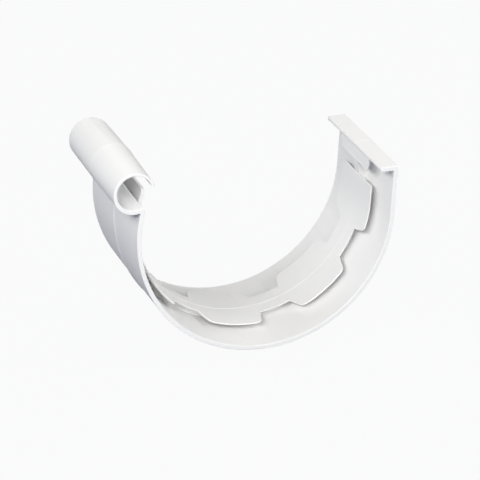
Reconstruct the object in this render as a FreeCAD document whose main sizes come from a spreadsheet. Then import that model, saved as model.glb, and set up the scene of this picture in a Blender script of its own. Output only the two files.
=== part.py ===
import FreeCAD, Part
import math
import os

import Sketcher

# Gutter union: one moulded piece that joins two lengths of half-round gutter.
# Millimetres, +Z up, +Y along the gutter, +X towards the wall of the house.
# The origin is on the axis of the half round, half way along the union.

DIMENSIONS = {
    # the gutter that slides in from each end
    "gutter_radius": 62.5,
    "gutter_wall": 1.9,
    "gutter_bead": 8.0,
    "fit_gap": 0.4,
    "tongue_gap": 0.7,
    # outer shell; its outside rises from both ends to a fine ridge on the parting line
    "length": 69.0,
    "shell_wall": 2.1,
    "shell_sweep": 193.2,
    "draft_rise": 0.2,
    "seam_width": 0.5,
    "seam_rise": 0.1,
    "back_height": 24.85,
    # flange turned in at the top of the back, with a bead along its inner edge
    "flange_reach": 9.3,
    "flange_wall": 2.2,
    "flange_slope": 3.4,
    "flange_bead": 1.45,
    # open bead tube at the front; its lips are directions from the tube's axis
    "bead_x": -67.1,
    "bead_z": 22.55,
    "bead_wall": 2.2,
    "bead_rise": 0.3,
    "upper_lip": 17.8,
    "lower_lip": -60.2,
    # stop between the two gutter ends; at the back it stands in from the tongue and lip a little
    "stop_width": 5.8,
    "stop_sweep": 191.7,
    "back_stop": 0.3,
    # inner tongue, with tabs along both edges, thinned on the outside at every edge
    "liner_wall": 1.2,
    "liner_sweep": 196.3,
    "liner_rise": 8.24,
    "tab_reach": 18.3,
    "tab_taper": 1.0,
    "tab_tip": 0.7,
    "tab_corner": 3.2,
    "notch_reach": 8.4,
    "notch_width": 15.7,
    "notch_slant": 18.0,
    "notch_taper": 45.0,
    "notch_first": 25.7,
    "notch_pitch": 47.1,
    "notch_count": 4,
    # lip that hangs from the flange and holds the gutter's back hem
    "lip_inset": 1.05,
    "lip_length": 34.8,
    "lip_wall": 1.7,
    "lip_taper": 35.0,
    "lip_foot": 15.4,
    "lip_corner": 3.0,
}

# radii and half sizes, as sheet expressions
SHELL_INSIDE = "(Dims.gutter_radius + Dims.fit_gap)"
SHELL_OUTSIDE = "(Dims.gutter_radius + Dims.fit_gap + Dims.shell_wall)"
LINER_OUTSIDE = "(Dims.gutter_radius - Dims.gutter_wall - Dims.tongue_gap)"
LINER_INSIDE = f"({LINER_OUTSIDE} - Dims.liner_wall)"
BEAD_INSIDE = "(Dims.gutter_bead + Dims.fit_gap)"
BEAD_OUTSIDE = "(Dims.gutter_bead + Dims.fit_gap + Dims.bead_wall)"
HALF_LENGTH = "(Dims.length / 2)"
HALF_STOP = "(Dims.stop_width / 2)"
FLANGE_END = f"({SHELL_OUTSIDE} - Dims.flange_reach)"
TAB_TIP = f"({LINER_INSIDE} + Dims.tab_tip)"

# how far cutting outlines run past the part, and joined edges run into it
CLEAR = 12.0
BURIED = 0.5

# sketch points and axes, as the sketcher numbers them
START, END, CENTRE = 1, 2, 3
H_AXIS, V_AXIS = -1, -2
ROOT = (-1, 1)

rule = Sketcher.Constraint
doc = FreeCAD.newDocument("gutter_union")


def make_sheet():
    cells = doc.addObject("Spreadsheet::Sheet", "Dims")
    for row, (name, size) in enumerate(DIMENSIONS.items(), start=1):
        cells.set(f"A{row}", name)
        cells.set(f"B{row}", str(size))
        cells.setAlias(f"B{row}", name)
    doc.recompute()
    return cells


sheet = make_sheet()
body = doc.addObject("PartDesign::Body", "Union")
body.Label = "gutter_union"


def number(expression):
    result = sheet.evalExpression(expression)
    return float(getattr(result, "Value", result))


def point(x, y):
    return FreeCAD.Vector(number(x), number(y), 0)


def origin_feature(role):
    for feature in body.Origin.OriginFeatures:
        if feature.Role == role:
            return feature
    raise ValueError(role)


def make_sketch(name, role, x="0", z="0"):
    """A sketch on one of the body's origin planes, shifted by two sheet expressions."""
    sketch = body.newObject("Sketcher::SketchObject", name)
    sketch.AttachmentSupport = [(origin_feature(role), "")]
    sketch.MapMode = "FlatFace"
    sketch.setExpression("AttachmentOffset.Base.x", x)
    sketch.setExpression("AttachmentOffset.Base.z", z)
    return sketch


def bind(sketch, constraint, expression):
    index = sketch.addConstraint(constraint)
    sketch.setExpression(f"Constraints[{index}]", expression)


def place(sketch, geometry, end, x=None, y=None):
    """Holds a point at distances from the sketch's axes, given as sheet expressions."""
    for kind, axis, expression in (("DistanceX", V_AXIS, x), ("DistanceY", H_AXIS, y)):
        if expression is None:
            continue
        size = number(expression)
        if size == 0:
            sketch.addConstraint(rule("PointOnObject", geometry, end, axis))
        else:
            bind(sketch, rule(kind, *ROOT, geometry, end, size), expression)


def join(sketch, *ends):
    """Makes pairs of end points coincide."""
    for first, second in ends:
        sketch.addConstraint(rule("Coincident", *first, *second))


def add_line(sketch, start, end):
    return sketch.addGeometry(Part.LineSegment(start, end))


def add_arc(sketch, centre, radius, first, last):
    circle = Part.Circle(centre, FreeCAD.Vector(0, 0, 1), radius)
    return sketch.addGeometry(Part.ArcOfCircle(circle, math.radians(first), math.radians(last)))


def add_polygon(sketch, corners):
    """A closed outline of straight sides; every corner is a pair of sheet expressions."""
    points = [point(x, y) for x, y in corners]
    lines = [add_line(sketch, *pair) for pair in zip(points, points[1:] + points[:1])]
    for line, following, corner in zip(lines, lines[1:] + lines[:1], corners):
        join(sketch, ((line, END), (following, START)))
        place(sketch, line, START, *corner)


def finish(feature):
    doc.recompute()
    if {"Invalid", "Error"} & set(feature.State) or feature.Shape.isNull() or not feature.Shape.isValid():
        raise RuntimeError(f"{feature.Name} did not build: {feature.State}")
    body.Tip = feature
    return feature


def pad(name, sketch, length, taper="0", midplane=False):
    feature = body.newObject("PartDesign::Pad", name)
    feature.Profile = sketch
    feature.Midplane = midplane
    feature.setExpression("Length", length)
    feature.setExpression("TaperAngle", taper)
    return finish(feature)


def revolve(name, sketch, angle):
    feature = body.newObject("PartDesign::Revolution", name)
    feature.Profile = sketch
    feature.ReferenceAxis = (sketch, ["V_Axis"])
    feature.setExpression("Angle", angle)
    return finish(feature)


def cut_through(name, sketch):
    feature = body.newObject("PartDesign::Pocket", name)
    feature.Profile = sketch
    feature.Type = "ThroughAll"
    feature.Midplane = True
    return finish(feature)


def drafted_section(inner, outer, rise):
    """Section of a wall whose outside rises from both ends to a ridge on the parting line."""
    foot = f"{outer} + {rise}"
    half_seam = "(Dims.seam_width / 2)"
    return [
        (inner, f"-{HALF_LENGTH}"),
        (outer, f"-{HALF_LENGTH}"),
        (foot, f"-{half_seam}"),
        (f"{foot} + Dims.seam_rise", "0"),
        (foot, half_seam),
        (outer, HALF_LENGTH),
        (inner, HALF_LENGTH),
    ]


def band_section(inner, outer, half_width):
    return [
        (inner, f"-{half_width}"),
        (outer, f"-{half_width}"),
        (outer, half_width),
        (inner, half_width),
    ]


def liner_section():
    """Section of the tongue: thinned on its outside at both edges, a fine ridge on its inside."""
    taper_start = "(Dims.tab_reach - Dims.tab_taper)"
    half_seam = "(Dims.seam_width / 2)"
    return [
        (LINER_INSIDE, "-Dims.tab_reach"),
        (TAB_TIP, "-Dims.tab_reach"),
        (LINER_OUTSIDE, f"-{taper_start}"),
        (LINER_OUTSIDE, taper_start),
        (TAB_TIP, "Dims.tab_reach"),
        (LINER_INSIDE, "Dims.tab_reach"),
        (LINER_INSIDE, half_seam),
        (f"{LINER_INSIDE} - Dims.seam_rise", "0"),
        (LINER_INSIDE, f"-{half_seam}"),
    ]


def make_blank():
    """Half round, back and bead as solids with drafted outsides, still without their hollows."""
    section = make_sketch("HalfRoundSection", "XY_Plane")
    add_polygon(section, drafted_section("0", SHELL_OUTSIDE, "Dims.draft_rise"))
    revolve("HalfRound", section, "Dims.shell_sweep")

    section = make_sketch("BackSection", "XY_Plane")
    add_polygon(section, drafted_section(f"{FLANGE_END} - {CLEAR}", SHELL_OUTSIDE, "Dims.draft_rise"))
    pad("Back", section, f"Dims.back_height + {BURIED}")

    section = make_sketch("BeadSection", "XY_Plane", "Dims.bead_x", "Dims.bead_z")
    add_polygon(section, drafted_section("0", BEAD_OUTSIDE, "Dims.bead_rise"))
    revolve("Bead", section, "360")


def draw_trough(sketch):
    """Draws roughly all that is hollow inside the profile; hold_trough sets its sizes."""
    inside = number(SHELL_INSIDE)
    nose = number("Dims.flange_bead")
    slot = point("Dims.bead_x", "Dims.bead_z")
    slot_end = point(f"Dims.bead_x + {CLEAR}", "Dims.bead_z")
    top_left = point(f"Dims.bead_x + {CLEAR}", f"Dims.back_height + {CLEAR}")
    top_right = point(f"{SHELL_OUTSIDE} + {CLEAR}", f"Dims.back_height + {CLEAR}")
    flange_far = point(f"{SHELL_OUTSIDE} + {CLEAR}", "Dims.back_height")
    nose_top = point(f"{FLANGE_END} + Dims.flange_bead", "Dims.back_height")
    nose_centre = point(f"{FLANGE_END} + Dims.flange_bead", "Dims.back_height - Dims.flange_bead")
    nose_under = point(f"{FLANGE_END} + 2 * Dims.flange_bead", "Dims.back_height - Dims.flange_wall")
    back_top = point(SHELL_INSIDE, "Dims.back_height - Dims.flange_wall")
    return {
        "lower_lip": add_line(sketch, point(f"-{SHELL_INSIDE}", "0"), slot),
        "upper_lip": add_line(sketch, slot, slot_end),
        "left": add_line(sketch, slot_end, top_left),
        "top": add_line(sketch, top_left, top_right),
        "right": add_line(sketch, top_right, flange_far),
        "flange": add_line(sketch, flange_far, nose_top),
        "nose": add_arc(sketch, nose_centre, nose, 90, 330),
        "underside": add_line(sketch, nose_under, back_top),
        "back": add_line(sketch, back_top, point(SHELL_INSIDE, "0")),
        "bowl": add_arc(sketch, FreeCAD.Vector(), inside, 180, 360),
    }


def hold_trough(sketch, part):
    straight = ["lower_lip", "upper_lip", "left", "top", "right", "flange"]
    for name, following in zip(straight, straight[1:]):
        join(sketch, ((part[name], END), (part[following], START)))
    join(
        sketch,
        ((part["nose"], END), (part["underside"], START)),
        ((part["underside"], END), (part["back"], START)),
        ((part["bowl"], START), (part["lower_lip"], START)),
        ((part["bowl"], CENTRE), ROOT),
    )
    sketch.addConstraint(rule("Tangent", part["flange"], END, part["nose"], START))
    sketch.addConstraint(rule("Tangent", part["back"], END, part["bowl"], END))
    sketch.addConstraint(rule("Parallel", part["flange"], part["underside"]))
    sketch.addConstraint(rule("Horizontal", part["top"]))
    for name in ("left", "right", "back"):
        sketch.addConstraint(rule("Vertical", part[name]))


def size_trough(sketch, part):
    bind(sketch, rule("Radius", part["bowl"], number(SHELL_INSIDE)), SHELL_INSIDE)
    bind(sketch, rule("Radius", part["nose"], number("Dims.flange_bead")), "Dims.flange_bead")
    slopes = {
        "upper_lip": "Dims.upper_lip * 1 deg",
        "lower_lip": "(180 + Dims.lower_lip) * 1 deg",
        "flange": "(180 + Dims.flange_slope) * 1 deg",
    }
    for name, slope in slopes.items():
        bind(sketch, rule("Angle", part[name], math.radians(number(slope))), slope)
    slope = "(Dims.flange_slope * 1 deg)"
    flange_far = f"Dims.back_height + {CLEAR} * tan({slope})"
    underside = f"Dims.back_height - Dims.shell_wall * tan({slope}) - Dims.flange_wall / cos({slope})"
    place(sketch, part["upper_lip"], START, "Dims.bead_x", "Dims.bead_z")
    place(sketch, part["nose"], CENTRE, f"{FLANGE_END} + Dims.flange_bead")
    place(sketch, part["underside"], END, y=underside)
    place(sketch, part["top"], START, f"Dims.bead_x + {CLEAR}", f"Dims.back_height + {CLEAR}")
    place(sketch, part["flange"], START, f"{SHELL_OUTSIDE} + {CLEAR}", flange_far)


def hollow_out():
    outline = make_sketch("TroughOutline", "XZ_Plane")
    part = draw_trough(outline)
    hold_trough(outline, part)
    size_trough(outline, part)
    cut_through("Trough", outline)

    outline = make_sketch("BoreOutline", "XZ_Plane")
    radius = number(BEAD_INSIDE)
    axis = point("Dims.bead_x", "Dims.bead_z")
    circle = outline.addGeometry(Part.Circle(axis, FreeCAD.Vector(0, 0, 1), radius))
    bind(outline, rule("Radius", circle, radius), BEAD_INSIDE)
    place(outline, circle, CENTRE, "Dims.bead_x", "Dims.bead_z")
    cut_through("BeadBore", outline)


def make_stop():
    """The ring that both gutter ends run up to."""
    section = make_sketch("StopSection", "XY_Plane")
    crest = f"{LINER_OUTSIDE} - {BURIED}"
    add_polygon(section, band_section(crest, f"{SHELL_INSIDE} + {BURIED}", HALF_STOP))
    revolve("Stop", section, "Dims.stop_sweep")


def make_back_stop():
    """The ring's straight end behind the tongue, and a web from there up behind the lip to the flange."""
    root = f"{SHELL_INSIDE} + {BURIED}"
    section = make_sketch("StopTopSection", "XY_Plane")
    add_polygon(section, band_section(TAB_TIP, root, HALF_STOP))
    pad("StopTop", section, "Dims.liner_rise")

    foot = f"Dims.liner_rise - {BURIED}"
    top = "Dims.back_height - Dims.flange_wall"
    lip_face = f"{FLANGE_END} + Dims.lip_inset"
    lip_middle = f"{lip_face} + Dims.lip_wall / 2"
    outline = make_sketch("BackStopOutline", "XZ_Plane")
    add_polygon(outline, [
        (f"{LINER_INSIDE} + Dims.back_stop", foot),
        (f"{lip_face} + Dims.back_stop", f"Dims.lip_foot + {BURIED}"),
        (lip_middle, "Dims.lip_foot + Dims.lip_wall"),
        (lip_middle, top),
        (root, top),
        (root, foot),
    ])
    pad("BackStop", outline, "Dims.stop_width", midplane=True)


def make_liner():
    """The tongue inside the gutter: round below, straight up beside the back."""
    section = make_sketch("LinerSection", "XY_Plane")
    add_polygon(section, liner_section())
    revolve("Liner", section, "Dims.liner_sweep")

    section = make_sketch("LinerTopSection", "XY_Plane")
    add_polygon(section, liner_section())
    pad("LinerTop", section, "Dims.liner_rise")


def thin_liner_end():
    """Bevels the outside of the tongue's straight end, so that the gutter's wall slips over it."""
    past = f"({LINER_OUTSIDE} + {BURIED})"
    bevel_foot = "Dims.liner_rise - Dims.tab_taper"
    outline = make_sketch("BackEndBevel", "XZ_Plane")
    add_polygon(outline, [
        (TAB_TIP, "Dims.liner_rise"),
        (LINER_OUTSIDE, bevel_foot),
        (past, bevel_foot),
        (past, f"Dims.liner_rise + {BURIED}"),
        (TAB_TIP, f"Dims.liner_rise + {BURIED}"),
    ])
    cut_through("BackEnd", outline)


def add_notch_side(sketch, hand, side):
    """Slanted side of a notch, its rounding into the tab's tip, and the way out past the tip."""
    slant = number("Dims.notch_slant")
    corner = number("Dims.tab_corner")
    base = point(f"{hand} * Dims.notch_width / 2", f"{side} * Dims.notch_reach")
    centre = point(f"{hand} * (Dims.notch_width / 2 + 2 * Dims.tab_corner)",
                   f"{side} * (Dims.tab_reach - Dims.tab_corner)")
    across = FreeCAD.Vector(-hand * corner, 0, 0)
    along = FreeCAD.Vector(0, side * corner, 0)
    tip_angle = side * 90
    side_angle = side * (90 + hand * (90 - slant))
    tip_end, side_end = (START, END) if tip_angle < side_angle else (END, START)
    slanted = add_line(sketch, base, centre + across)
    rounding = add_arc(sketch, centre, corner, *sorted((tip_angle, side_angle)))
    way_out = add_line(sketch, centre + along, centre + along * 2)

    sketch.addConstraint(rule("Tangent", slanted, END, rounding, side_end))
    join(sketch, ((rounding, tip_end), (way_out, START)))
    sketch.addConstraint(rule("Vertical", rounding, CENTRE, rounding, tip_end))
    sketch.addConstraint(rule("Vertical", way_out))
    slope = f"{side} * (90 - {hand} * Dims.notch_slant) * 1 deg"
    bind(sketch, rule("Angle", slanted, math.radians(number(slope))), slope)
    bind(sketch, rule("Radius", rounding, corner), "Dims.tab_corner")
    place(sketch, slanted, START, f"{hand} * Dims.notch_width / 2", f"{side} * Dims.notch_reach")
    place(sketch, way_out, START, y=f"{side} * Dims.tab_reach")
    place(sketch, way_out, END, y=f"{side} * (Dims.tab_reach + Dims.tab_corner)")
    return slanted, way_out


def add_notch(sketch, side):
    left, left_out = add_notch_side(sketch, -1, side)
    right, right_out = add_notch_side(sketch, 1, side)
    floor = add_line(sketch, *(sketch.getPoint(line, START) for line in (left, right)))
    mouth = add_line(sketch, *(sketch.getPoint(line, END) for line in (left_out, right_out)))
    join(
        sketch,
        ((floor, START), (left, START)),
        ((floor, END), (right, START)),
        ((mouth, START), (left_out, END)),
        ((mouth, END), (right_out, END)),
    )


def cut_notches():
    """Cuts the first pair of notches square to the tongue and repeats it round the axis."""
    level = LINER_INSIDE
    turn = "Dims.notch_first * 1 deg"
    outline = make_sketch("NotchOutline", "XY_Plane", f"{level} * cos({turn})", f"-{level} * sin({turn})")
    outline.AttachmentOffset = FreeCAD.Placement(
        outline.AttachmentOffset.Base, FreeCAD.Rotation(FreeCAD.Vector(0, 1, 0), 90 + number(turn)))
    outline.setExpression("AttachmentOffset.Rotation.Angle", f"90 deg + {turn}")
    for side in (-1, 1):
        add_notch(outline, side)

    notch = body.newObject("PartDesign::Pocket", "Notch")
    notch.Profile = outline
    notch.SideType = "Two sides"
    notch.setExpression("Length", "Dims.liner_wall")
    notch.setExpression("Length2", "1.2 * Dims.liner_wall")
    notch.setExpression("TaperAngle2", "Dims.notch_taper * 1 deg")
    finish(notch)

    ring = body.newObject("PartDesign::PolarPattern", "Notches")
    ring.Originals = [notch]
    ring.Axis = (origin_feature("Y_Axis"), [""])
    ring.setExpression("Angle", "Dims.notch_pitch * (Dims.notch_count - 1)")
    ring.setExpression("Occurrences", "Dims.notch_count")
    finish(ring)


def draw_lip(sketch):
    """Outline of the back lip seen from the front: square above, rounded below."""
    half = number("Dims.lip_length / 2")
    corner = number("Dims.lip_corner")
    foot = number("Dims.lip_foot")
    top = number("Dims.back_height - Dims.flange_wall / 2")
    spot = FreeCAD.Vector
    left = add_line(sketch, spot(-half, top), spot(-half, foot + corner))
    left_corner = add_arc(sketch, spot(corner - half, foot + corner), corner, 180, 270)
    bottom = add_line(sketch, spot(corner - half, foot), spot(half - corner, foot))
    right_corner = add_arc(sketch, spot(half - corner, foot + corner), corner, 270, 360)
    right = add_line(sketch, spot(half, foot + corner), spot(half, top))
    roof = add_line(sketch, spot(half, top), spot(-half, top))
    chain = (left, left_corner, bottom, right_corner, right)
    for piece, following in zip(chain, chain[1:]):
        sketch.addConstraint(rule("Tangent", piece, END, following, START))
    join(sketch, ((right, END), (roof, START)), ((roof, END), (left, START)))
    sketch.addConstraint(rule("Horizontal", roof))
    for side in (left, right):
        sketch.addConstraint(rule("Vertical", side))
    for arc in (left_corner, right_corner):
        bind(sketch, rule("Radius", arc, corner), "Dims.lip_corner")
    place(sketch, left, START, "-Dims.lip_length / 2", "Dims.back_height - Dims.flange_wall / 2")
    place(sketch, right, END, "Dims.lip_length / 2")
    place(sketch, bottom, START, y="Dims.lip_foot")


def make_back_lip():
    """Short lip under the flange's bead, thinned at its edges on the gutter's side."""
    outline = make_sketch("BackLipOutline", "YZ_Plane", z=f"{FLANGE_END} + Dims.lip_inset")
    draw_lip(outline)
    pad("BackLip", outline, "Dims.lip_wall", "-Dims.lip_taper * 1 deg")


def check_model():
    doc.recompute()
    for item in doc.Objects:
        if {"Invalid", "Error"} & set(item.State):
            raise RuntimeError(f"{item.Name} did not build: {item.State}")
        if item.isDerivedFrom("Part::Feature") and (item.Shape.isNull() or not item.Shape.isValid()):
            raise RuntimeError(f"{item.Name} has no valid shape")
    if len(body.Shape.Solids) != 1:
        raise RuntimeError("the union is not one solid")


make_blank()
hollow_out()
make_stop()
make_liner()
cut_notches()
thin_liner_end()
make_back_stop()
make_back_lip()
check_model()
os.makedirs("parts", exist_ok=True)
body.Shape.exportStep(f"parts/{body.Label}.step")
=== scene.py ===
import math
from collections import namedtuple

import bmesh
import bpy
from mathutils import Matrix, Vector


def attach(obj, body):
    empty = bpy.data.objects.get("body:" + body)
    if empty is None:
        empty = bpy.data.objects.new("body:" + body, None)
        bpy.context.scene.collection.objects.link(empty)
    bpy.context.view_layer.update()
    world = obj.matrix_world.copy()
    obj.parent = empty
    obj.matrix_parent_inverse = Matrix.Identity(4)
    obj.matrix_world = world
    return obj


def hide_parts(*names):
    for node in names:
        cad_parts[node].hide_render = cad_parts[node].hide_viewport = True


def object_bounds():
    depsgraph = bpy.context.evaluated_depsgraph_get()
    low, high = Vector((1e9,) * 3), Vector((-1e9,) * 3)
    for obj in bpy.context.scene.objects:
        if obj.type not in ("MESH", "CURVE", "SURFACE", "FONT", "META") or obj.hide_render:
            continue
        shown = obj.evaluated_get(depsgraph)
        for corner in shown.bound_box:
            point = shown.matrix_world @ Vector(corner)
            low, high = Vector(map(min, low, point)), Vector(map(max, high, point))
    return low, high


# White moulded gutter union, seen from above its near end.
# The form is laid out in millimetres in the part's own frame: +X to the wall, +Y along the gutter, +Z up.

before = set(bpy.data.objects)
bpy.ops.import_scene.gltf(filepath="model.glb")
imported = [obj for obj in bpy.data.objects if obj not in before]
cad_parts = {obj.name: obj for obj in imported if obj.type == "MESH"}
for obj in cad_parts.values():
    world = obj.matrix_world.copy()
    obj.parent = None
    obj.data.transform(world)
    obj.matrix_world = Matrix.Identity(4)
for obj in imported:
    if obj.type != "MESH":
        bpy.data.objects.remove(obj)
cad_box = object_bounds()
scene = bpy.context.scene
MM = 0.001
ORIGIN = Vector((0.0, 0.0))

# camera fitted to the photograph's edges
EYE_MM = (-500.621, -1268.206, 572.438)
RIGHT = (0.937572, -0.342964, 0.057752)
FORWARD = (0.336499, 0.852558, -0.399891)
FOCAL_PX = 3067.29
IMAGE_PX = 480
SENSOR_MM = 36.0
CLIP_END = 20.0

# shell, back and flange
HALF_LENGTH = 34.5
SHELL_INSIDE = 62.9
SHELL_OUTSIDE = 65.0
SHELL_DRAFT = 0.1995
BACK_HEIGHT = 24.85
FLANGE_SLOPE = 3.4
FLANGE_WALL = 2.2
NOSE_X = 57.15
NOSE_RADIUS = 1.12
GROOVE_PLACE = 1.1
GROOVE_HALF = 0.35
GROOVE_DEPTH = 0.16

# open bead tube
BEAD_AXIS = Vector((-67.1, 22.55))
BEAD_INSIDE = 8.4
BEAD_OUTSIDE = 10.597
BEAD_DRAFT = 0.3
UPPER_LIP = 17.8
LOWER_LIP = -60.6

# how the bead lies at its ends: shift of bore and outside, and growth of their radii
NEAR_BORE = (Vector((-0.16, -0.30)), 0.23)
NEAR_OUTSIDE = (Vector((-0.07, -0.81)), -0.28)
FAR_BORE = (Vector((-0.14, 0.42)), 0.0)
FAR_OUTSIDE = (Vector((-0.14, 0.42)), -0.03)
BEAD_FADE = (3.0, 13.0)

# spacing of the section's points: degrees on arcs, millimetres on straights, a share of each bend
ARC_STEP = 2.0
BEAD_STEP = 3.0
BORE_STEP = 4.0
NOSE_STEP = 15.0
FLANGE_STEP = 2.0
BACK_STEP = 4.0
CEILING_STEP = 1.5
UPPER_LIP_STEP = 0.5
LOWER_LIP_STEP = 0.6
BEND_STEP = 0.2

# how far from each corner of the section its bend starts, and how much painted highlight the bends get; the
# lower lip's edge gets the most
TOP_BEND = 0.45
JOINT_BEND = 0.6
UPPER_LIP_BEND = 0.8
LOWER_LIP_BEND = 1.0
LIP_END_BEND = 0.6
CEILING_BEND = 0.7
NOSE_BEND = 0.35
BEND_HIGHLIGHT = 0.6
LOWER_LIP_HIGHLIGHT = 2.0

# rows along the gutter: the rounded ends, whose edges are painted pale as rubbed wear and painted
# highlight, how much of that the far one keeps, then places towards the middle
END_ROUNDING = 0.22
END_TURNS = (90, 60, 30, 0)
END_BAND = 0.8
FAR_WEAR_AND_HIGHLIGHT = 0.2
MIDDLE_ROW = 17.0
SEAM_ROW = 2.0

# parting line, with a painted highlight along it
SEAM_HALF = 0.25
SEAM_RISE = 0.1
SEAM_PALE = 1.0
TONGUE_SEAM_HALF = 0.6
TONGUE_SEAM_RISE = 0.24
TONGUE_SEAM_HIGHLIGHT = 0.6
WALL_SEAM_RISE = 0.3
WALL_SEAM_FADE = (25.0, 45.0)

# the parting line on the tongue, its ridge and its painted highlight: faintest, length over which it grows
# by one, clearest
TONGUE_SEAM_FADE = (0.1, 100.0, 1.6)

# shading: how near the parting line faces are flat, and how much large faces weigh elsewhere
FLAT_BAND = 1.1 * TONGUE_SEAM_HALF
SHADING_WEIGHT = 60

# tongue with its tabs
LINER_INSIDE = 58.7
LINER_WALL = 1.2
LINER_RISE = 8.24
LINER_SWEEP = 196.3
LINER_CORNER = 2.4
TAB_REACH = 18.3
TAB_TIP = 0.55
TAB_TAPER = 1.0
TAB_CORNER = 3.2
END_WALL = 1.9
END_TAB = 30.0
END_RAMP = 10.0
END_DRAW = 0.1
NOTCH_REACH = 8.4
NOTCH_HALF = 7.85
NOTCH_SLANT = 18.0
NOTCH_TIP = 0.25
NOTCH_FIRST = 25.7
NOTCH_PITCH = 47.1
NOTCH_COUNT = 4

# spacing of the tongue's columns: degrees on its corners, millimetres along its edge
TAB_CORNER_STEP = 12.0
LINER_CORNER_TURN = 80.0
LINER_CORNER_STEP = 16.0
EDGE_STEP = 1.4
SLANT_STEP = 0.4
SLANT_LEAST = 1.0
FIRST_COLUMN = 0.12
COLUMN_GAP = 0.2

# the tongue's section: its edge as distance back from the edge, depth and painted highlight, then tip with
# painted highlights on and under its edge, taper and body
TAB_EDGE = [
    (0.7, 0.0, 0.0),
    (0.4, 0.0, 0.7),
    (0.12, 0.0, 0.9),
    (0.03, 0.04, 1.0),
    (0.0, 0.12, 1.0),
]
TIP_RISE = 0.06
TIP_HIGHLIGHT = 0.8
TIP_DRAW = 0.05
TIP_UNDER_HIGHLIGHT = 0.3
TAPER_RISE = 0.05
TAPER_RUN = 0.2
BODY_INSET = 1.8
BODY_LEAN = 0.6

# stop behind the tongue, and its web; sinks are how far they reach into what they touch
STOP_HALF = 2.9
STOP_SWEEP = 191.2
STOP_ROUNDING = 0.15
STOP_TURNS = (90, 45, 0)
STOP_SINK = 0.3
WEB_SINK = 0.5
WEB_INSET = 0.3

# lip under the flange
LIP_FACE = 56.75
LIP_WALL = 1.7
LIP_HALF = 17.4
LIP_FOOT = 15.4
LIP_TOP = 23.6
LIP_SHOULDER = 20.6
LIP_CORNER = 3.0
LIP_CORNER_STEP = 9.0
LIP_SHRINK = 1.19

# the lip's rows from face to back: depth, how far its outline is drawn in, painted highlight on the face's
# edges
LIP_ROWS = [
    (0.0, 0.25, 0.3),
    (0.06, 0.07, 1.0),
    (0.25, 0.0, 1.0),
    (LIP_WALL - 0.15, LIP_SHRINK - 0.1, 0.0),
    (LIP_WALL, LIP_SHRINK + 0.1, 0.0),
]

# the parting line's ridges on the lip and on the web below it, as pairs of x and z
LIP_SEAM = [(LIP_FACE, LIP_FOOT + 0.25), (LIP_FACE, LIP_TOP - 1.0)]
WEB_SEAM = [(LINER_INSIDE + 0.2, LINER_RISE - 0.1), (LIP_FACE + 0.45, LIP_FOOT + 0.1)]
RIDGE_SINK = 0.1
RIDGE_SHARE = 0.7

# small trimming marks on the near rim: angle, half width in degrees, depth
NICKS = [
    (-112.6, 1.0, 0.20),
    (-96.0, 0.8, 0.25),
    (-93.6, 1.6, 0.22),
    (-91.0, 0.6, 0.35),
    (-68.4, 0.8, 0.15),
    (-65.3, 0.8, 0.40),
    (-23.4, 1.2, 0.18),
    (-21.4, 0.7, 0.28),
]

# where a mark ends in half widths, how steep it is, how far it runs along the gutter, and its highest place
NICK_EDGE = 1.5
NICK_STEEPNESS = 2.0
NICK_RUN = 0.5
NICK_TOP = 5.0

# spacing of the points across a mark, and the least between two points, in degrees
NICK_STEP = 0.3
NICK_CLOSEST = 0.15

# plastic
COOL_WHITE = (0.863, 0.863, 0.860, 1)
WARM_WHITE = (0.880, 0.877, 0.868, 1)
# pale white for rubbed edges, and a painted highlight along edges, tab tips and the parting line
WORN_AND_HIGHLIGHT_WHITE = (0.940, 0.936, 0.924, 1)
SCUFF = (0.800, 0.800, 0.798, 1)
SPECK = (0.300, 0.290, 0.280, 1)
CLOUD_SCALE = 38.0
CLOUD_DETAIL = 3.0
CLOUD_RANGE = (0.35, 0.65)
DRAG_SCALE = 260.0
DRAG_DETAIL = 4.0
DRAG_STRETCH = (1.0, 0.06, 1.0)
SCUFF_RANGE = (0.62, 0.75)
SCUFF_MOST = 0.35
GRAIN_SCALE = 1500.0
GRAIN_DETAIL = 2.0
SPECK_SCALE = 140.0
SPECK_CHOICE = (0.80, 0.86)
SPECK_SIZE = (0.03, 0.06)
# how far rubbed edges and painted highlights pale the colour
WEAR_AND_HIGHLIGHT_RANGE = (0.2, 1.0)
WEAR_AND_HIGHLIGHT_MOST = 0.8
TEXTURE_RANGE = (0.7, 1.3)
ROUGHNESS = (0.52, 0.66)
REFRACTION = 1.53
SPECULAR = 0.14
BUMP_STRENGTH = 0.25
BUMP_DISTANCE = 0.00006

# places of the colours in a mix node: first, second, result
MIX_FIRST = 6
MIX_SECOND = 7
MIX_RESULT = 2

# lamps: place and size in metres, power in watts, colour
LAMP_WARM = (1.0, 0.995, 0.985)
LAMP_COOL = (0.98, 0.99, 1.0)
LAMPS = {
    "key": ((-0.660, -0.926, 0.630), 0.4, 5.8, LAMP_WARM),
    "high": ((-0.524, -0.735, 0.935), 0.5, 1.7, LAMP_WARM),
    "middle": ((-0.196, -1.171, 0.529), 0.4, 3.2, LAMP_WARM),
    "right": ((0.462, -1.062, 0.590), 0.5, 5.4, LAMP_WARM),
    "side": ((0.976, -0.199, 0.836), 0.6, 3.7, LAMP_WARM),
    "left": ((-0.947, -0.514, 0.727), 0.5, 4.6, LAMP_WARM),
    "far_left": ((-1.031, 0.118, 0.782), 0.5, 4.1, LAMP_COOL),
    "back": ((0.621, 0.740, 0.870), 0.6, 2.9, LAMP_WARM),
    "low_back": ((0.550, 0.060, -0.030), 0.06, 1.0, LAMP_WARM),
}

# world and floor, both white where they are seen; sizes in metres
WHITE = (1, 1, 1, 1)
AMBIENT = 0.0
FLOOR_PAINT = (0.09, 0.11, 0.17, 1)
FLOOR_ROUGHNESS = 0.9
FLOOR_GLOW = 0.95
FLOOR_HALF = 8.0
FLOOR_GAP = 0.0002

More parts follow.
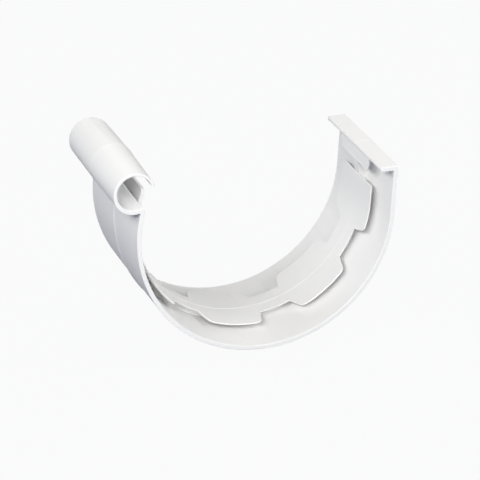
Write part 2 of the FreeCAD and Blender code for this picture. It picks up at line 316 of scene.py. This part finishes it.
# a spot on the section: place, outward direction, draft, rise at the parting line, paleness of wear and
# painted highlight
Spot = namedtuple("Spot", "pos out draft ridge worn", defaults=[0.0])

# marked places of the section
Flange = namedtuple("Flange", "normal along top nose_top nose nose_end ceiling")
Bead = namedtuple("Bead", "joint upper_out upper_in lower lip_end")


def cos(angle):
    return math.cos(math.radians(angle))


def sin(angle):
    return math.sin(math.radians(angle))


def turn_of(place, centre):
    """Direction of a place from a centre, in degrees."""
    return math.degrees(math.atan2(place.y - centre.y, place.x - centre.x))


def around(centre, radius, angle):
    return Vector((centre[0] + radius * cos(angle), centre[1] + radius * sin(angle)))


def clamped(value):
    return min(1.0, max(0.0, value))


def spread(first, last, step):
    """Numbers from first to last, both included, no further apart than a step."""
    count = max(1, math.ceil(abs(last - first) / step))
    return [first + (last - first) * i / count for i in range(count + 1)]


def make_camera():
    data = bpy.data.cameras.new("camera")
    data.sensor_width = SENSOR_MM
    data.sensor_fit = "HORIZONTAL"
    data.lens = FOCAL_PX * SENSOR_MM / IMAGE_PX
    data.clip_end = CLIP_END
    camera = bpy.data.objects.new("camera", data)
    scene.collection.objects.link(camera)
    right = Vector(RIGHT).normalized()
    back = -Vector(FORWARD).normalized()
    up = back.cross(right).normalized()
    turn = Matrix((right, up, back)).transposed().to_4x4()
    camera.matrix_world = Matrix.Translation(Vector(EYE_MM) * MM) @ turn
    scene.camera = camera


# the section across the gutter


def plain(pos, out=(0.0, 0.0), draft=0.0, ridge=0.0):
    return Spot(Vector(pos), Vector(out), draft, ridge)


def straight(first, last, step, out=(0.0, 0.0), draft=0.0, ridge=0.0):
    first, last = Vector(first), Vector(last)
    parts = spread(0.0, 1.0, step / (last - first).length)
    return [plain(first.lerp(last, part), out, draft, ridge) for part in parts]


def bow(centre, radius, angles, draft=0.0, ridge=0.0):
    return [plain(around(centre, radius, a), (cos(a), sin(a)), draft, ridge) for a in angles]


def shell_angles(last):
    """Angles along the shell's outside, closer together where the rim has trimming marks."""
    wanted = spread(0.0, last, ARC_STEP)
    for middle, half, _ in NICKS:
        wanted += spread(middle - NICK_EDGE * half, middle + NICK_EDGE * half, NICK_STEP)
    angles = []
    for angle in sorted(wanted, reverse=True):
        if not angles or angles[-1] - angle > NICK_CLOSEST:
            angles.append(angle)
    angles[-1] = last
    return angles


def crossing(first, first_radius, second, second_radius):
    """The lower crossing of two circles."""
    apart = second - first
    along = (first_radius ** 2 - second_radius ** 2 + apart.length_squared) / (2 * apart.length)
    aside = math.sqrt(first_radius ** 2 - along ** 2)
    unit = apart.normalized()
    return first + unit * along + Vector((-unit.y, unit.x)) * aside


def mixed(a, b, part):
    return Spot(
        a.pos.lerp(b.pos, part),
        a.out.lerp(b.out, part),
        a.draft + (b.draft - a.draft) * part,
        a.ridge + (b.ridge - a.ridge) * part,
        a.worn + (b.worn - a.worn) * part,
    )


def walk(path, index, direction, distance):
    """Goes along a closed path from a spot; gives the next whole spot and the place reached."""
    while True:
        here = path[index % len(path)]
        following = path[(index + direction) % len(path)]
        step = (following.pos - here.pos).length
        if step > distance:
            return index + direction, mixed(here, following, distance / step)
        distance -= step
        index += direction


def rounded(path, corner, cut, worn):
    """Replaces the spots round a corner with a smooth bend, painted paler at its middle as a highlight."""
    index = min(range(len(path)), key=lambda i: (path[i].pos - corner).length)
    after, last = walk(path, index, 1, cut)
    before, first = walk(path, index, -1, cut)
    kept = [path[i % len(path)] for i in range(after, before + len(path) + 1)]
    middle = path[index]._replace(worn=worn)
    parts = spread(0.0, 1.0, BEND_STEP)
    return kept + [mixed(mixed(first, middle, t), mixed(middle, last, t), t) for t in parts]


def flange_marks():
    """Marked places of the flange: its top edge, its round nose and the inner corner below it."""
    slope = math.tan(math.radians(FLANGE_SLOPE))
    normal = Vector((-sin(FLANGE_SLOPE), cos(FLANGE_SLOPE)))
    along = Vector((cos(FLANGE_SLOPE), sin(FLANGE_SLOPE)))
    top = Vector((SHELL_OUTSIDE, BACK_HEIGHT))
    nose_top_x = NOSE_X + NOSE_RADIUS * normal.x
    nose_top = Vector((nose_top_x, BACK_HEIGHT - (SHELL_OUTSIDE - nose_top_x) * slope))
    nose = nose_top - normal * NOSE_RADIUS
    below = FLANGE_WALL - NOSE_RADIUS
    nose_end = nose + along * math.sqrt(NOSE_RADIUS ** 2 - below ** 2) - normal * below
    ceiling = Vector((SHELL_INSIDE, nose_end.y + (SHELL_INSIDE - nose_end.x) * slope))
    return Flange(normal, along, top, nose_top, nose, nose_end, ceiling)


def bead_marks():
    """Marked places of the bead: where it meets the shell outside and inside, and the edges of its lips."""
    joint = crossing(ORIGIN, SHELL_OUTSIDE, BEAD_AXIS, BEAD_OUTSIDE)
    upper_out = around(BEAD_AXIS, BEAD_OUTSIDE, UPPER_LIP)
    upper_in = around(BEAD_AXIS, BEAD_INSIDE, UPPER_LIP)
    lower = around(BEAD_AXIS, BEAD_INSIDE, LOWER_LIP)
    lip = Vector((cos(LOWER_LIP), sin(LOWER_LIP)))
    ahead = BEAD_AXIS.dot(lip)
    reach = -ahead - math.sqrt(ahead ** 2 - BEAD_AXIS.length_squared + SHELL_INSIDE ** 2)
    return Bead(joint, upper_out, upper_in, lower, BEAD_AXIS + lip * reach)


def outer_path(flange, bead):
    """From the groove beside the nose over the flange, down the back and round to the upper lip."""
    groove = [
        (GROOVE_PLACE - GROOVE_HALF, 0.0),
        (GROOVE_PLACE, GROOVE_DEPTH),
        (GROOVE_PLACE + GROOVE_HALF, 0.0),
    ]
    groove = [flange.nose_top + flange.along * place - flange.normal * depth for place, depth in groove]
    round_angles = shell_angles(turn_of(bead.joint, ORIGIN) - 360.0)
    bead_angles = spread(turn_of(bead.joint, BEAD_AXIS), UPPER_LIP - 360.0, BEAD_STEP)
    waist = (SHELL_OUTSIDE, 0.0)
    path = [plain(place, flange.normal, 0.0, SEAM_RISE) for place in groove]
    path += straight(groove[-1], flange.top, FLANGE_STEP, flange.normal, 0.0, SEAM_RISE)[1:-1]
    path += straight(flange.top, waist, BACK_STEP, (1.0, 0.0), SHELL_DRAFT, SEAM_RISE)[:-1]
    path += bow(ORIGIN, SHELL_OUTSIDE, round_angles, SHELL_DRAFT, SEAM_RISE)
    path += bow(BEAD_AXIS, BEAD_OUTSIDE, bead_angles, BEAD_DRAFT, SEAM_RISE)[1:]
    return path


def inner_path(flange, bead):
    """From the upper lip through the bore, round inside the shell, up the back and round the nose."""
    bore_angles = spread(UPPER_LIP - 360.0, LOWER_LIP, BORE_STEP)
    round_angles = spread(turn_of(bead.lip_end, ORIGIN), 360.0, ARC_STEP)
    nose_angles = spread(turn_of(flange.nose_end, flange.nose), FLANGE_SLOPE - 270.0, NOSE_STEP)
    path = straight(bead.upper_out, bead.upper_in, UPPER_LIP_STEP)[1:-1]
    path += bow(BEAD_AXIS, BEAD_INSIDE, bore_angles)
    path += straight(bead.lower, bead.lip_end, LOWER_LIP_STEP)[1:]
    path += bow(ORIGIN, SHELL_INSIDE, round_angles)[1:]
    path += straight((SHELL_INSIDE, 0.0), flange.ceiling, BACK_STEP)[1:]
    path += straight(flange.ceiling, flange.nose_end, CEILING_STEP)[1:]
    path += bow(flange.nose, NOSE_RADIUS, nose_angles, 0.0, SEAM_RISE)[1:]
    return path


def shell_profile():
    """Outline of flange, back, half round and bead, clockwise, with its corners rounded."""
    flange = flange_marks()
    bead = bead_marks()
    path = outer_path(flange, bead) + inner_path(flange, bead)
    bends = [
        (flange.top, TOP_BEND, BEND_HIGHLIGHT),
        (bead.joint, JOINT_BEND, BEND_HIGHLIGHT),
        (bead.upper_out, UPPER_LIP_BEND, BEND_HIGHLIGHT),
        (bead.upper_in, UPPER_LIP_BEND, BEND_HIGHLIGHT),
        (bead.lip_end, LIP_END_BEND, BEND_HIGHLIGHT),
        (flange.ceiling, CEILING_BEND, BEND_HIGHLIGHT),
        (flange.nose_end, NOSE_BEND, BEND_HIGHLIGHT),
        (bead.lower, LOWER_LIP_BEND, LOWER_LIP_HIGHLIGHT),
    ]
    for corner, cut, worn in bends:
        path = rounded(path, corner, cut, worn)
    return path


def lie(pos, y):
    """Shift of a spot in the bead: it sags at its near end, where its wall thins towards the upper lip."""
    low, high = BEAD_FADE
    fade = clamped((pos.y - low) / (high - low))
    if pos.x > 0.0 or fade == 0.0:
        return Vector((0.0, 0.0))
    away = pos - BEAD_AXIS
    outer = clamped((away.length - BEAD_INSIDE) / (BEAD_OUTSIDE - BEAD_INSIDE))
    bore, outside = (NEAR_BORE, NEAR_OUTSIDE) if y < 0.0 else (FAR_BORE, FAR_OUTSIDE)
    shift = bore[0].lerp(outside[0], outer)
    growth = bore[1] + (outside[1] - bore[1]) * outer
    return (shift + away.normalized() * growth) * fade * abs(y) / HALF_LENGTH


def nick_depth(pos):
    """Depth of the trimming marks at a place on the near rim."""
    turn = turn_of(pos, ORIGIN)
    depth = 0.0
    for middle, half, deepest in NICKS:
        off = abs(turn - middle) / half
        depth = max(depth, deepest * clamped((NICK_EDGE - off) * NICK_STEEPNESS))
    return depth


def inset(loop, distance):
    """Moves a clockwise outline inwards."""
    moved = []
    for before, here, after in zip(loop[-1:] + loop[:-1], loop, loop[1:] + loop[:1]):
        way = (after - before).normalized()
        moved.append(here + Vector((way.y, -way.x)) * distance)
    return moved


def end_turn(half, rounding, angles):
    """Rows over a rounded end: place along the gutter, and how far the outline is drawn in."""
    return [(half - rounding * (1 - sin(a)), rounding * (1 - cos(a))) for a in angles]


def stations():
    """Places along the gutter, with how far the outline is drawn in and how pale the edge is painted, as
    rubbed wear and painted highlight.
    """
    rows = [(y, drawn_in, 1.0) for y, drawn_in in end_turn(HALF_LENGTH, END_ROUNDING, END_TURNS)]
    rows += [(y, 0.0, 0.0) for y in (HALF_LENGTH - END_BAND, MIDDLE_ROW, SEAM_ROW, SEAM_PALE, SEAM_HALF)]
    near = [(-y, drawn_in, worn) for y, drawn_in, worn in rows]
    far = [(y, drawn_in, worn * FAR_WEAR_AND_HIGHLIGHT) for y, drawn_in, worn in reversed(rows)]
    return near + [(0.0, 0.0, 0.0)] + far


def seam_nearness(y):
    """One on the parting line, falling to nothing beside it."""
    return max(0.0, 1.0 - abs(y) / SEAM_PALE)


def wall_seam(pos, y):
    """The parting line's further rise on the half round's front wall, below the bead."""
    low, high = WALL_SEAM_FADE
    return WALL_SEAM_RISE * clamped((-pos.x - low) / (high - low)) * seam_nearness(y)


def shell_loops(path):
    loops = []
    for y, drawn_in, worn in stations():
        rise = 1.0 - max(0.0, abs(y) - SEAM_HALF) / (HALF_LENGTH - SEAM_HALF)
        near_edge = max(0.0, 1.0 - (y + HALF_LENGTH) / NICK_RUN)
        loop = []
        for spot in path:
            outwards = spot.draft * rise + (spot.ridge if y == 0.0 else 0.0)
            if spot.draft == SHELL_DRAFT:
                outwards += wall_seam(spot.pos, y)
                if spot.pos.y < NICK_TOP:
                    outwards -= near_edge * nick_depth(spot.pos)
            loop.append(spot.pos + spot.out * outwards + lie(spot.pos, y))
        # paleness of each point: rubbed end edges, and painted highlights on the bends and along the
        # parting line
        wear_and_highlight = [max(worn, spot.worn, seam_nearness(y) if spot.ridge else 0.0) for spot in path]
        loops.append([(Vector((p.x, y, p.y)), w) for p, w in zip(inset(loop, drawn_in), wear_and_highlight)])
    return loops


# closed forms from rows of outlines


def loft(bm, wear_and_highlight_layer, loops):
    """Joins outlines of equal length, lists of places with their paleness of wear and painted highlight,
    into a closed form.
    """
    rings = []
    for loop in loops:
        ring = []
        for point, worn in loop:
            vert = bm.verts.new(point * MM)
            vert[wear_and_highlight_layer] = worn
            ring.append(vert)
        rings.append(ring)
    count = len(rings[0])
    for first, second in zip(rings, rings[1:]):
        for i in range(count):
            j = (i + 1) % count
            bm.faces.new((first[i], first[j], second[j], second[i]))
    bm.faces.new(rings[0])
    bm.faces.new(rings[-1])


# the stop


def stop_outline():
    """The stop behind the tongue, and its web between tongue, lip, flange and back."""
    crest = LINER_INSIDE + LINER_WALL - STOP_SINK
    root = SHELL_INSIDE + STOP_SINK
    top = BACK_HEIGHT - FLANGE_WALL
    foot = LINER_RISE - WEB_SINK
    middle = LIP_FACE + LIP_WALL / 2
    turns = spread(0.0, -STOP_SWEEP, ARC_STEP)
    outline = [Vector((middle, top)), Vector((root, top)), Vector((root, foot))]
    outline += [around(ORIGIN, root, turn) for turn in turns]
    outline += [around(ORIGIN, crest, turn) for turn in reversed(turns)]
    outline += [
        Vector((crest, foot)),
        Vector((LINER_INSIDE + WEB_INSET, foot)),
        Vector((LIP_FACE + WEB_INSET, LIP_FOOT + WEB_SINK)),
        Vector((middle, LIP_FOOT + LIP_WALL)),
    ]
    return outline


def stop_loops():
    """Rows of the stop's outline across the gutter, drawn in at both ends."""
    outline = stop_outline()
    turn = end_turn(STOP_HALF, STOP_ROUNDING, STOP_TURNS)
    rows = [(-y, drawn_in) for y, drawn_in in turn] + [(y, drawn_in) for y, drawn_in in reversed(turn)]
    return [[(Vector((p.x, y, p.y)), 0.0) for p in inset(outline, drawn_in)] for y, drawn_in in rows]


# the tongue


def notch_side():
    """One side of a notch from its root to the tab's tip: way from the notch's middle, reach."""
    slant = math.tan(math.radians(NOTCH_SLANT))
    centre_v = TAB_REACH - TAB_CORNER
    centre_u = NOTCH_HALF + (centre_v - NOTCH_REACH) * slant + TAB_CORNER / cos(NOTCH_SLANT)
    side = [(NOTCH_HALF, NOTCH_REACH)]
    for angle in spread(180.0 - NOTCH_SLANT, 90.0, TAB_CORNER_STEP):
        side.append((centre_u + TAB_CORNER * cos(angle), centre_v + TAB_CORNER * sin(angle)))
    return side


def tab_edge():
    """The tongue's edge as pairs: way along the tongue, reach from the parting line."""
    side = notch_side()
    edge = [(0.0, TAB_REACH)]
    for i in range(NOTCH_COUNT):
        middle = math.radians(NOTCH_FIRST + i * NOTCH_PITCH)
        for hand, part in ((-1, reversed(side)), (1, side)):
            for u, v in part:
                turn = middle + hand * math.atan(u / LINER_INSIDE)
                edge.append((LINER_RISE + turn * LINER_INSIDE, v))
    last = LINER_RISE + math.radians(LINER_SWEEP) * LINER_INSIDE
    edge.append((last - LINER_CORNER, TAB_REACH))
    for angle in spread(LINER_CORNER_TURN, 0.0, LINER_CORNER_STEP):
        edge.append((last - LINER_CORNER * (1 - cos(angle)), TAB_REACH - LINER_CORNER * (1 - sin(angle))))
    return edge


def tongue_columns():
    """The edge with more columns between its corners."""
    edge = tab_edge()
    columns = [edge[0], (FIRST_COLUMN, TAB_REACH), (TAB_TAPER, TAB_REACH)]
    for (s0, v0), (s1, v1) in zip(edge, edge[1:]):
        step = EDGE_STEP if abs(v1 - v0) < SLANT_LEAST else SLANT_STEP
        for part in spread(0.0, 1.0, step / (s1 - s0))[1:]:
            s = s0 + (s1 - s0) * part
            if s > TAB_TAPER + COLUMN_GAP:
                columns.append((s, v0 + (v1 - v0) * part))
    return columns


def tongue_section(reach, ending, clear):
    """Half of the tongue's section: reach from the parting line, depth from the inner face, paleness
    painted as a highlight.
    """
    out = min(1.0, (reach - NOTCH_REACH) / (TAB_REACH - TAB_CORNER - NOTCH_REACH))
    wall = LINER_WALL + (END_WALL - LINER_WALL) * ending
    tip = NOTCH_TIP + (TAB_TIP + (wall - TAB_TIP) * ending - NOTCH_TIP) * out
    full = reach - TAB_TAPER
    body = NOTCH_REACH - BODY_INSET
    return [
        (TONGUE_SEAM_HALF, 0.0, TONGUE_SEAM_HIGHLIGHT * clear),
        (SEAM_PALE, 0.0, 0.0),
        (body, 0.0, 0.0),
        *[(reach - back, depth, worn) for back, depth, worn in TAB_EDGE],
        (reach, tip - TIP_RISE, TIP_HIGHLIGHT),
        (reach - TIP_DRAW, tip, TIP_UNDER_HIGHLIGHT),
        (full, wall - TAPER_RISE, 0.0),
        (full - TAPER_RUN, wall, 0.0),
        (body - BODY_LEAN, wall, 0.0),
    ]


def on_tongue(s, y, depth):
    """A place on the tongue, from the way along it, the way across and the depth from its inner face."""
    if s <= LINER_RISE:
        return Vector((LINER_INSIDE + depth, y, LINER_RISE - s))
    turn = math.degrees((s - LINER_RISE) / LINER_INSIDE)
    place = around(ORIGIN, LINER_INSIDE + depth, -turn)
    return Vector((place.x, y, place.y))


def tongue_loops():
    columns = tongue_columns()
    last = columns[-1][0]
    faint, length, most = TONGUE_SEAM_FADE
    loops = []
    for s, reach in columns:
        deepest = TAB_TIP + (END_WALL - TAB_TIP) * min(1.0, s / TAB_TAPER)
        shallowest = END_DRAW if s in (columns[0][0], last) else 0.0
        ending = clamped((s - last + END_TAB) / END_RAMP)
        clear = min(most, faint + s / length)
        section = tongue_section(reach, ending, clear)
        half = [(y, max(shallowest, min(deepest, depth)), worn) for y, depth, worn in section]
        # the parting line's ridge on the tongue, with its painted highlight
        loop = [(0.0, shallowest - TONGUE_SEAM_RISE * clear, min(1.0, clear))] + half
        loop += [(-y, depth, worn) for y, depth, worn in reversed(half)]
        loops.append([(on_tongue(s, y, depth), worn) for y, depth, worn in loop])
    return loops


# the back lip


def lip_outline(shrink):
    """Outline of the lip seen from the gutter: square above, rounded below."""
    half = LIP_HALF - shrink
    foot = LIP_FOOT + shrink
    centre = half - LIP_CORNER
    height = foot + LIP_CORNER
    outline = [Vector((-half, LIP_TOP)), Vector((-half, LIP_SHOULDER))]
    outline += [around((-centre, height), LIP_CORNER, a) for a in spread(180.0, 270.0, LIP_CORNER_STEP)]
    outline += [Vector((-SEAM_HALF, foot)), Vector((0.0, foot)), Vector((SEAM_HALF, foot))]
    outline += [around((centre, height), LIP_CORNER, a) for a in spread(270.0, 360.0, LIP_CORNER_STEP)]
    outline += [Vector((half, LIP_SHOULDER)), Vector((half, LIP_TOP))]
    outline += [Vector((SEAM_HALF, LIP_TOP)), Vector((0.0, LIP_TOP)), Vector((-SEAM_HALF, LIP_TOP))]
    return outline


def lip_loops():
    loops = []
    for x, shrink, worn in LIP_ROWS:
        outline = lip_outline(shrink)
        loops.append([(Vector((LIP_FACE + x, p.x, p.y)), max(worn, seam_nearness(p.x))) for p in outline])
    return loops


def seam_loops(line):
    """A fine ridge on the parting line, along places given as pairs of x and z, painted pale all over as a
    highlight.
    """
    rows = []
    for x, z in line:
        rows.append([
            (Vector((x + RIDGE_SINK, -SEAM_HALF, z)), 1.0),
            (Vector((x - SEAM_RISE * RIDGE_SHARE, 0.0, z)), 1.0),
            (Vector((x + RIDGE_SINK, SEAM_HALF, z)), 1.0),
        ])
    return rows


# the whole moulding


def union_mesh():
    """All forms in one mesh, smooth but for the parting line."""
    bm = bmesh.new()
    # paleness of each point, for rubbed edges and painted highlights
    worn = bm.verts.layers.float.new("wear_and_highlight")
    loft(bm, worn, shell_loops(shell_profile()))
    loft(bm, worn, stop_loops())
    loft(bm, worn, tongue_loops())
    loft(bm, worn, lip_loops())
    loft(bm, worn, seam_loops(LIP_SEAM))
    loft(bm, worn, seam_loops(WEB_SEAM))
    bmesh.ops.recalc_face_normals(bm, faces=bm.faces)
    for face in bm.faces:
        on_seam = all(abs(vert.co.y) < FLAT_BAND * MM for vert in face.verts)
        face.smooth = not on_seam
    mesh = bpy.data.meshes.new("union")
    bm.to_mesh(mesh)
    bm.free()
    return mesh


def make_union():
    piece = bpy.data.objects.new("union", union_mesh())
    scene.collection.objects.link(piece)
    even = piece.modifiers.new("even_shading", "WEIGHTED_NORMAL")
    even.mode = "FACE_AREA"
    even.weight = SHADING_WEIGHT
    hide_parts("gutter_union")
    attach(piece, "root")
    return piece


# surfaces


def noise(tree, place, scale, detail, stretch=None):
    """Noise over a place; a stretch draws it out along an axis."""
    if stretch:
        mapping = tree.nodes.new("ShaderNodeMapping")
        mapping.inputs["Scale"].default_value = stretch
        tree.links.new(place, mapping.inputs["Vector"])
        place = mapping.outputs["Vector"]
    texture = tree.nodes.new("ShaderNodeTexNoise")
    texture.inputs["Scale"].default_value = scale
    texture.inputs["Detail"].default_value = detail
    tree.links.new(place, texture.inputs["Vector"])
    return texture.outputs["Fac"]


def ranged(tree, value, given, wanted):
    """Maps a value from one range to another."""
    node = tree.nodes.new("ShaderNodeMapRange")
    for name, size in zip(("From Min", "From Max", "To Min", "To Max"), given + wanted):
        node.inputs[name].default_value = size
    tree.links.new(value, node.inputs["Value"])
    return node.outputs["Result"]


def combined(tree, first, second, operation):
    node = tree.nodes.new("ShaderNodeMath")
    node.operation = operation
    tree.links.new(first, node.inputs[0])
    tree.links.new(second, node.inputs[1])
    return node.outputs["Value"]


def blend(tree, factor, first, second):
    """Mixes two colours; the first may be a socket."""
    node = tree.nodes.new("ShaderNodeMix")
    node.data_type = "RGBA"
    tree.links.new(factor, node.inputs["Factor"])
    if isinstance(first, tuple):
        node.inputs[MIX_FIRST].default_value = first
    else:
        tree.links.new(first, node.inputs[MIX_FIRST])
    node.inputs[MIX_SECOND].default_value = second
    return node.outputs[MIX_RESULT]


def specks(tree, place):
    """Small dark grains, sparse and unequal."""
    cells = tree.nodes.new("ShaderNodeTexVoronoi")
    cells.inputs["Scale"].default_value = SPECK_SCALE
    tree.links.new(place, cells.inputs["Vector"])
    rare = ranged(tree, cells.outputs["Color"], SPECK_CHOICE, (0.0, 1.0))
    near = ranged(tree, cells.outputs["Distance"], SPECK_SIZE, (1.0, 0.0))
    return combined(tree, rare, near, "MULTIPLY")


def pvc_colour(tree, place, drag):
    """Cloudy white with scuffs along the draw, grains, and pale edges that are partly rubbed wear and
    partly painted highlight.
    """
    worn = tree.nodes.new("ShaderNodeAttribute")
    worn.attribute_name = "wear_and_highlight"
    clouds = ranged(tree, noise(tree, place, CLOUD_SCALE, CLOUD_DETAIL), CLOUD_RANGE, (0.0, 1.0))
    scuffs = ranged(tree, drag, SCUFF_RANGE, (0.0, SCUFF_MOST))
    # paleness of rubbed edges and painted highlights, from the mesh's points
    worn_and_lit_edges = ranged(tree, worn.outputs["Fac"], WEAR_AND_HIGHLIGHT_RANGE, (0.0, WEAR_AND_HIGHLIGHT_MOST))
    colour = blend(tree, clouds, COOL_WHITE, WARM_WHITE)
    colour = blend(tree, scuffs, colour, SCUFF)
    colour = blend(tree, specks(tree, place), colour, SPECK)
    return blend(tree, worn_and_lit_edges, colour, WORN_AND_HIGHLIGHT_WHITE)


def make_pvc():
    """White moulded plastic with fine drag marks along the draw."""
    material = bpy.data.materials.new("white_pvc")
    material.use_nodes = True
    tree = material.node_tree
    shader = tree.nodes["Principled BSDF"]
    place = tree.nodes.new("ShaderNodeTexCoord").outputs["Object"]
    drag = noise(tree, place, DRAG_SCALE, DRAG_DETAIL, DRAG_STRETCH)
    grain = noise(tree, place, GRAIN_SCALE, GRAIN_DETAIL)
    texture = combined(tree, drag, grain, "ADD")
    bump = tree.nodes.new("ShaderNodeBump")
    bump.inputs["Strength"].default_value = BUMP_STRENGTH
    bump.inputs["Distance"].default_value = BUMP_DISTANCE
    tree.links.new(texture, bump.inputs["Height"])
    tree.links.new(pvc_colour(tree, place, drag), shader.inputs["Base Color"])
    tree.links.new(ranged(tree, texture, TEXTURE_RANGE, ROUGHNESS), shader.inputs["Roughness"])
    tree.links.new(bump.outputs["Normal"], shader.inputs["Normal"])
    shader.inputs["IOR"].default_value = REFRACTION
    shader.inputs["Specular IOR Level"].default_value = SPECULAR
    return material


def white_to_eye(tree):
    """One for rays from the eye, direct or by reflection or transmission, and nothing for other light."""
    path = tree.nodes.new("ShaderNodeLightPath")
    seen = combined(tree, path.outputs["Is Camera Ray"], path.outputs["Is Glossy Ray"], "MAXIMUM")
    return combined(tree, seen, path.outputs["Is Transmission Ray"], "MAXIMUM")


def make_world():
    world = bpy.data.worlds.new("world")
    scene.world = world
    world.use_nodes = True
    tree = world.node_tree
    ambient = tree.nodes["Background"]
    ambient.inputs["Color"].default_value = WHITE
    ambient.inputs["Strength"].default_value = AMBIENT
    white = tree.nodes.new("ShaderNodeBackground")
    white.inputs["Color"].default_value = WHITE
    white.inputs["Strength"].default_value = 1.0
    mix = tree.nodes.new("ShaderNodeMixShader")
    tree.links.new(white_to_eye(tree), mix.inputs["Fac"])
    tree.links.new(ambient.outputs[0], mix.inputs[1])
    tree.links.new(white.outputs[0], mix.inputs[2])
    tree.links.new(mix.outputs[0], tree.nodes["World Output"].inputs["Surface"])


def floor_material():
    """Dull dark paint that is nearly white to the eye, but gives little light back to the part."""
    material = bpy.data.materials.new("floor")
    material.use_nodes = True
    tree = material.node_tree
    paint = tree.nodes["Principled BSDF"]
    paint.inputs["Base Color"].default_value = FLOOR_PAINT
    paint.inputs["Roughness"].default_value = FLOOR_ROUGHNESS
    glow = tree.nodes.new("ShaderNodeEmission")
    glow.inputs["Color"].default_value = WHITE
    glow.inputs["Strength"].default_value = 1.0
    share = tree.nodes.new("ShaderNodeMath")
    share.operation = "MULTIPLY"
    share.inputs[1].default_value = FLOOR_GLOW
    mix = tree.nodes.new("ShaderNodeMixShader")
    tree.links.new(white_to_eye(tree), share.inputs[0])
    tree.links.new(share.outputs[0], mix.inputs["Fac"])
    tree.links.new(paint.outputs[0], mix.inputs[1])
    tree.links.new(glow.outputs[0], mix.inputs[2])
    tree.links.new(mix.outputs[0], tree.nodes["Material Output"].inputs["Surface"])
    return material


def make_floor():
    half = FLOOR_HALF
    level = cad_box[0][2] - FLOOR_GAP
    mesh = bpy.data.meshes.new("floor")
    corners = [(-half, -half, level), (half, -half, level), (half, half, level), (-half, half, level)]
    mesh.from_pydata(corners, [], [(0, 1, 2, 3)])
    floor = bpy.data.objects.new("floor", mesh)
    scene.collection.objects.link(floor)
    mesh.materials.append(floor_material())


def make_lamps():
    for name, (place, size, power, colour) in LAMPS.items():
        data = bpy.data.lights.new(name, "AREA")
        data.shape = "DISK"
        data.size = size
        data.energy = power
        data.color = colour
        lamp = bpy.data.objects.new(name, data)
        lamp.location = place
        lamp.rotation_euler = (-Vector(place)).to_track_quat("-Z", "Y").to_euler()
        scene.collection.objects.link(lamp)


make_camera()
union = make_union()
union.data.materials.append(make_pvc())
make_world()
make_floor()
make_lamps()
scene.view_settings.view_transform = "Standard"
